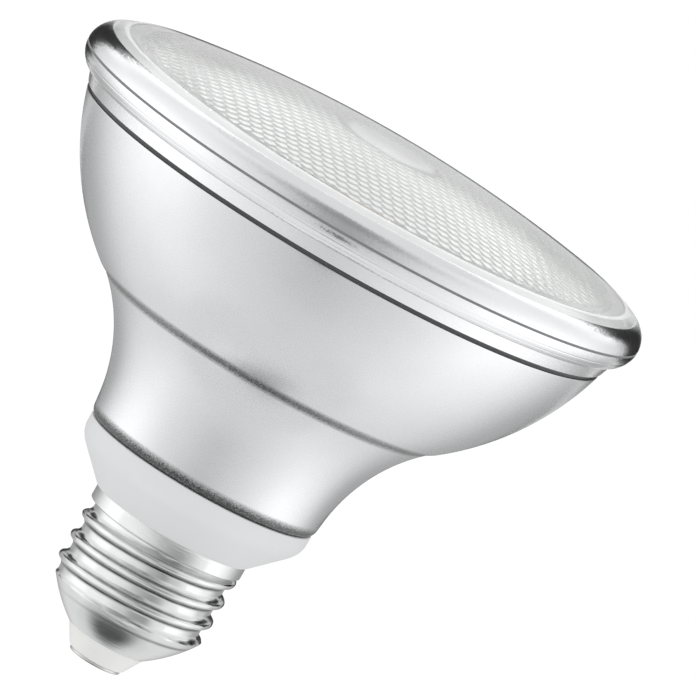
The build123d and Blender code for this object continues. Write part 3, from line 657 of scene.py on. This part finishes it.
def screw_shell():
    """Thin shell with its thread rolled in, which runs out on the domed end and under the plain band."""
    columns, step = 256, 0.08
    dome = bulged((PLAIN_BAND_RADIUS, SHELL_DOME_TOP), SHELL_LIP, SHELL_DOME_BULGE, 64)[::-1]
    levels = [z for _, z in dome[::2]]
    count = round((COLLAR_FOOT - SHELL_DOME_TOP) / step)
    levels += [SHELL_DOME_TOP + (COLLAR_FOOT - SHELL_DOME_TOP) * k / count for k in range(1, count + 1)]

    def dome_radius(height):
        for (r0, z0), (r1, z1) in zip(dome, dome[1:]):
            if z0 <= height <= z1:
                return r0 + (r1 - r0) * (height - z0) / (z1 - z0)
        return PLAIN_BAND_RADIUS

    def outside(turn, height):
        band = ease((height - PLAIN_BAND_FOOT + PLAIN_BAND_LEAD) / PLAIN_BAND_RISE)
        radius = thread_radius(turn, height)
        radius += THREAD_WOBBLE * sum(math.sin(n * turn + lean * height) for n, lean in THREAD_WAVES)
        return min(radius + (PLAIN_BAND_RADIUS - radius) * band, dome_radius(height))

    rings, crest_shading = [], []
    turns = [2 * math.pi * i / columns for i in range(columns)]
    for height in levels:
        reach = [outside(turn, height) for turn in turns]
        rings.append((0, [(r * math.cos(t), r * math.sin(t), height) for r, t in zip(reach, turns)]))
        # Painted dark reflection: a line just under each crest, stored on the points, kept off the domed end
        # and the plain band
        threaded = ease((height - CREST_SHADE_FOOT) / CREST_SHADE_FADE_IN)
        threaded *= ease((PLAIN_BAND_FOOT - height) / CREST_SHADE_FADE_OUT)
        crest_shading += [threaded * bell((over_crest(turn, height) + CREST_SHADE_DROP) / CREST_SHADE_WIDTH) for turn in turns]
    bore = THREAD_ROOT - SHELL_WALL
    inside = bulged((bore, SHELL_FLOOR), (SHELL_LIP[0], SHELL_LIP[1] + SHELL_WALL), SHELL_DOME_BULGE, 8)
    rings += [(0, ring(r, z, columns)) for r, z in [(bore, COLLAR_FOOT), *inside]]
    piece = mesh_piece("threaded_shell", skin(rings), "screw_shell", [cap_nickel])
    crest_shading += [0.0] * (len(piece.data.vertices) - len(crest_shading))
    piece.data.attributes.new("crest_shade", "FLOAT", "POINT").data.foreach_set("value", crest_shading)


def cap_end():
    """Insulating button that fills the shell's end, with a hole for the contact."""
    waist = SHELL_LIP[0] - INSULATOR_PLAY
    top = SHELL_LIP[1] + INSULATOR_DEPTH
    profile = outline(
        (CONTACT_HOLE, INSULATOR_FACE[1]),
        (*INSULATOR_FACE, INSULATOR_ROUND),
        (waist, SHELL_LIP[1], INSULATOR_EDGE),
        (waist, SHELL_LIP[1] + SHELL_WALL),
        (waist + INSULATOR_FLARE, top),
        (CONTACT_HOLE, top),
    )
    shape = turned(profile, 128)
    mesh_piece("insulating_button", shape, "cap_insulator", [insulator_white])


reflector()
front_lens()
collar()
screw_shell()
cap_end()

# Parts inside and between, which keep their CAD form

inner_finishes = {
    # Sealant, cement and pad: soft, dull and an even grey
    "rim_seal": coated("grey silicone sealant", "#7E7F82", "#8E8F92", 0.3, 0.6),
    "neck_seal": coated("grey bonding cement", "#2C2D2E", "#48494A", 0.4, 0.85),
    "thermal_pad": coated("grey thermal silicone", "#7C828A", "#888E96", 0.5, 0.7),
    # Bare and plated metal: a satin shine with the grain of the sheet
    "centre_contact": coated("tinned brass", "#B4B3B2", "#C4C3C2", 0.6, 0.3, 1.0),
    "heat_spreader": coated("bare aluminium", "#D6D8DA", "#E2E4E6", 0.8, 0.4, 1.0),
    "board_screws": coated("zinc plated steel", "#9A9C9E", "#B0B2B4", 0.4, 0.35, 1.0),
    "transformer_winding": coated("enamelled copper", "#A85A2C", "#C0703C", 0.25, 0.3, 0.8),
    # Solder mask and the light source's resin: smooth, with a low gloss
    "led_board": coated("white solder mask", "#E6E6E2", "#EFEFEB", 1.0, 0.35),
    "led_chips": coated("phosphor in clear resin", "#E8BE3E", "#F2D25C", 0.3, 0.3),
    "driver_board": coated("green solder mask", "#1A5A36", "#226844", 1.0, 0.35),
    # Sleeves, dips and coats of the driver's parts: smooth, with a soft sheen
    "electrolytic_capacitor": coated("black shrink sleeve", "#202124", "#2A2B2F", 0.8, 0.35),
    "film_capacitor": coated("dipped brown resin", "#7A3A22", "#8A452A", 0.6, 0.3),
    "fusible_resistor": coated("grey green cement coat", "#7C8E90", "#8A9C9E", 0.3, 0.6),
    # Ferrite and moulded packages: dark, dull and finely grained
    "transformer_core": coated("sintered ferrite", "#2E2E30", "#3A3A3D", 0.3, 0.6),
    "transformer_bobbin": coated("black nylon, moulded", "#242424", "#2C2C2C", 0.5, 0.5),
    "bridge_rectifier": coated("black epoxy, moulded", "#1E1E1F", "#282829", 0.3, 0.6),
    "driver_chip": coated("black epoxy, fine moulded", "#1C1C1D", "#262627", 0.2, 0.55),
    "input_choke": coated("coated ferrite", "#303033", "#3C3C40", 0.4, 0.5),
    # Vinyl on the wires: one even colour with a soft sheen
    "live_lead": coated("brown vinyl", "#5A3A26", "#664430", 0.5, 0.4),
    "neutral_lead": coated("blue vinyl", "#2A4C8C", "#34589A", 0.5, 0.4),
    "led_lead_positive": coated("red vinyl", "#A62420", "#B4302A", 0.5, 0.4),
    "led_lead_negative": coated("black vinyl", "#1C1C1C", "#282828", 0.5, 0.4),
}
for name, material in inner_finishes.items():
    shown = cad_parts[name].data
    shown.materials.clear()
    shown.materials.append(material)

# Studio: white floor and surround, and a white light tent and cards that only reflections and glass show

FLOOR_LEVEL = -260.0
FLOOR_REACH = 4000.0
FLOOR_GLOW = 0.2
SKY_LIGHT = 0.95
MIDDLE = (0.0, 0.0, 60.0)
TENT_RADIUS = 300.0
TENT_FOOT_ANGLE = -65.0
TENT_TOP_ANGLE = 60.0
RIM_CARDS_AWAY = 120.0
RIM_FLAG_SIZE = (92.0, 148.0)
RIM_FLAG_START = (54.0, 32.0)
FRONT_CARD_HALF = 17.0
FRONT_CARD_HEIGHT = 30.0
FRONT_CARD_FOOT = 18.0
CAP_CARD_RADIUS = 24.0
CAP_CARD_HEIGHT = 19.5
CAP_CARD_FOOT = 3.0
CAP_CARD_TURNS = (-50.0, 54.0)
CAP_CARD_DIM_TURN = 21.0
UNDER_CARD_HALF = (14.0, 9.0)
UNDER_CARD_MIDDLE = (-8.0, -8.0)


def seen_directly(tree):
    """1 for rays from the camera, from metal and through glass, 0 for light on matt surfaces."""
    path = add(tree, "ShaderNodeLightPath").outputs
    seen = path["Is Camera Ray"]
    for ray in ("Is Glossy Ray", "Is Transmission Ray"):
        seen = add(tree, "ShaderNodeMath", {0: seen, 1: path[ray]}, operation="MAXIMUM").outputs[0]
    return seen


def studio_floor():
    """White paper floor, matt, with a glow that keeps it white to the camera."""
    material, tree, _ = new_material("white studio floor")
    glow = add(tree, "ShaderNodeMath", {0: seen_directly(tree), 1: FLOOR_GLOW}, operation="MULTIPLY")
    paper = add(tree, "ShaderNodeBsdfDiffuse", {"Color": linear("#F0F0F0")})
    light = add(tree, "ShaderNodeEmission", {"Strength": glow.outputs[0]})
    both = add(tree, "ShaderNodeAddShader", {0: paper.outputs[0], 1: light.outputs[0]})
    add(tree, "ShaderNodeOutputMaterial", {"Surface": both.outputs[0]})
    return material


def studio_world():
    """White all round: pure white to look at, and a little less as light on matt surfaces."""
    world = bpy.data.worlds.new("white surround")
    bpy.context.scene.world = world
    world.use_nodes = True
    tree = world.node_tree
    tree.nodes.clear()
    level = add(tree, "ShaderNodeMapRange", {
        "Value": seen_directly(tree), "To Min": SKY_LIGHT, "To Max": 1.0,
    })
    air = add(tree, "ShaderNodeBackground", {"Color": linear("#FFFFFF"), "Strength": level.outputs["Result"]})
    add(tree, "ShaderNodeOutputWorld", {"Surface": air.outputs[0]})


def glowing_cloth():
    """Screen cloth whose brightness is stored at the corners of its mesh, where 1 is white."""
    material, tree, _ = new_material("lit screen cloth")
    glow = add(tree, "ShaderNodeAttribute", attribute_name="glow").outputs["Fac"]
    light = add(tree, "ShaderNodeEmission", {"Color": linear("#FFFFFF"), "Strength": glow})
    add(tree, "ShaderNodeOutputMaterial", {"Surface": light.outputs[0]})
    return material


def stage_mesh(name, points, faces, material):
    """A part of the studio, from its points in millimetres."""
    mesh = bpy.data.meshes.new(name)
    mesh.from_pydata([Vector(p) * MM for p in points], [], faces)
    mesh.materials.append(material)
    made = bpy.data.objects.new(name, mesh)
    bpy.context.scene.collection.objects.link(made)
    return made


def screen(name, place, glow, across, up):
    """Screen that only reflections and glass show. Its place and glow are functions of how far across and up
    it a corner is, from 0 to 1."""
    grid = [(i / across, j / up) for j in range(up + 1) for i in range(across + 1)]
    row = across + 1
    faces = [(j * row + i, j * row + i + 1, (j + 1) * row + i + 1, (j + 1) * row + i)
             for j in range(up) for i in range(across)]
    made = stage_mesh(name, [place(*spot) for spot in grid], faces, cloth)
    level = made.data.attributes.new("glow", "FLOAT", "POINT")
    level.data.foreach_set("value", [glow(*spot) for spot in grid])
    made.visible_camera = False
    made.visible_diffuse = False
    made.visible_shadow = False


def light_tent():
    """Round tent of white cloth, lit unevenly. Angles in degrees: side from the camera, rise from level."""
    def angles(u, v):
        return 360 * u - 180, (TENT_TOP_ANGLE - TENT_FOOT_ANGLE) * v + TENT_FOOT_ANGLE

    def place(u, v):
        side, rise = map(math.radians, angles(u, v))
        way = (math.sin(side) * math.cos(rise), -math.cos(side) * math.cos(rise), math.sin(rise))
        return [m + TENT_RADIUS * w for m, w in zip(MIDDLE, way)]

    def glow(u, v):
        side, rise = angles(u, v)
        side = abs(side)
        behind = ease((side - 105) / 40)
        # Soft boxes at both sides, for the two bright stripes on the body
        boxes = 0.2 * bell((side - 85) / 60) + 0.6 * bell((side - 82) / 28) * bell((rise + 12) / 33)
        # Bright cloth high behind, which whitens the near half of the lens
        high_back = 0.55 * behind * ease((rise - 13) / 12)
        # Slit for the camera, for the shade down the middle, and the dimmer cloth over it, for the rim
        slit = (0.18 + 0.34 * ease((rise + 22) / 20)) * bell(side / 24) * ease((rise + 60) / 15)
        over_slit = 0.24 * bell((side - 26) / 26) * bell((rise - 44) / 12)
        # Dim back, for the body's dark sides, and a dark strip there, for the line on the lens's far edge
        back = behind * ease((rise + 48) / 26) * (0.26 * ease((26 - rise) / 20) + 0.3 * ease((-1 - rise) / 8))
        strip = 0.66 * ease((side - 146) / 10) * ease((rise + 17) / 4) * ease((4.5 - rise) / 2.5)
        return max(0.98 + boxes + high_back - slit - over_slit - back - strip, 0.03)

    screen("light_tent", place, glow, 180, 125)


def rim_cards():
    """Dark cards behind and in front, which put dark ends and a dark middle on the mirror-like bead."""
    def flag_glow(u, v):
        return 1 - 0.98 * ease(min(u / 0.15, (1 - u) / 0.2)) * ease(min(v, 1 - v) / 0.15)

    for side in (-1, 1):
        def flag_place(u, v):
            across = RIM_FLAG_START[0] + RIM_FLAG_SIZE[0] * u
            return (side * across, RIM_CARDS_AWAY, RIM_FLAG_START[1] + RIM_FLAG_SIZE[1] * v)

        screen(f"rim_flag_{side}", flag_place, flag_glow, 16, 24)

    def front_place(u, v):
        return (FRONT_CARD_HALF * (2 * u - 1), -RIM_CARDS_AWAY, FRONT_CARD_FOOT + FRONT_CARD_HEIGHT * v)

    def front_glow(u, v):
        return 0.08 + 0.82 * ease(abs(2 * u - 1))

    screen("rim_front_card", front_place, front_glow, 12, 2)


def cap_card():
    """Curved card close to the cap, bright at the left and dim right of the middle, to shade one side."""
    def turn(u):
        return CAP_CARD_TURNS[0] + (CAP_CARD_TURNS[1] - CAP_CARD_TURNS[0]) * u

    def place(u, v):
        x, y = polar((0.0, 0.0), CAP_CARD_RADIUS, turn(u) - 90)
        return (x, y, CAP_CARD_FOOT + CAP_CARD_HEIGHT * v)

    def glow(u, v):
        off = turn(u) - CAP_CARD_DIM_TURN
        return 1.45 - 0.95 * bell(off / (32 if off < 0 else 20))

    screen("card_by_cap", place, glow, 48, 2)


def under_card():
    """Small dark card under the cap, which shades the middle of the shell's rounded end."""
    def place(u, v):
        y, z = UNDER_CARD_MIDDLE
        return (UNDER_CARD_HALF[0] * (2 * u - 1), y + UNDER_CARD_HALF[1] * (2 * v - 1), z)

    def glow(u, v):
        return 0.12 + 0.88 * ease((math.hypot(2 * u - 1, 2 * v - 1) - 0.3) / 0.7)

    screen("card_under_cap", place, glow, 24, 24)


studio_world()
corners = [(x * FLOOR_REACH, y * FLOOR_REACH, FLOOR_LEVEL) for x, y in ((-1, -1), (1, -1), (1, 1), (-1, 1))]
stage_mesh("floor", corners, [range(4)], studio_floor())
cloth = glowing_cloth()
light_tent()
rim_cards()
cap_card()
under_card()

# Camera at the photograph's angle: the lamp leans to the right, seen a little from above the rim

VIEW_RISE = 8.5
VIEW_ROLL = 30.06
VIEW_DISTANCE = 2000.0
VIEW_AIM = (9.74, 0.0, 62.0)
SENSOR = 36.0
LENS_LENGTH = 674.3


def photo_camera():
    """Long lens far away, raised and rolled about its line of sight."""
    rise, roll = math.radians(VIEW_RISE), math.radians(VIEW_ROLL)
    across = Vector((1, 0, 0))
    upright = Vector((0, math.sin(rise), math.cos(rise)))
    back = Vector((0, -math.cos(rise), math.sin(rise)))
    right = across * math.cos(roll) + upright * math.sin(roll)
    up = upright * math.cos(roll) - across * math.sin(roll)
    data = bpy.data.cameras.new("photo_camera")
    data.sensor_width = SENSOR
    data.lens = LENS_LENGTH
    camera = bpy.data.objects.new("photo_camera", data)
    turn = Matrix((right, up, back)).transposed().to_4x4()
    place = (Vector(VIEW_AIM) + back * VIEW_DISTANCE) * MM
    camera.matrix_world = Matrix.Translation(place) @ turn
    bpy.context.scene.collection.objects.link(camera)
    bpy.context.scene.camera = camera


photo_camera()
bpy.context.scene.view_settings.view_transform = "Standard"
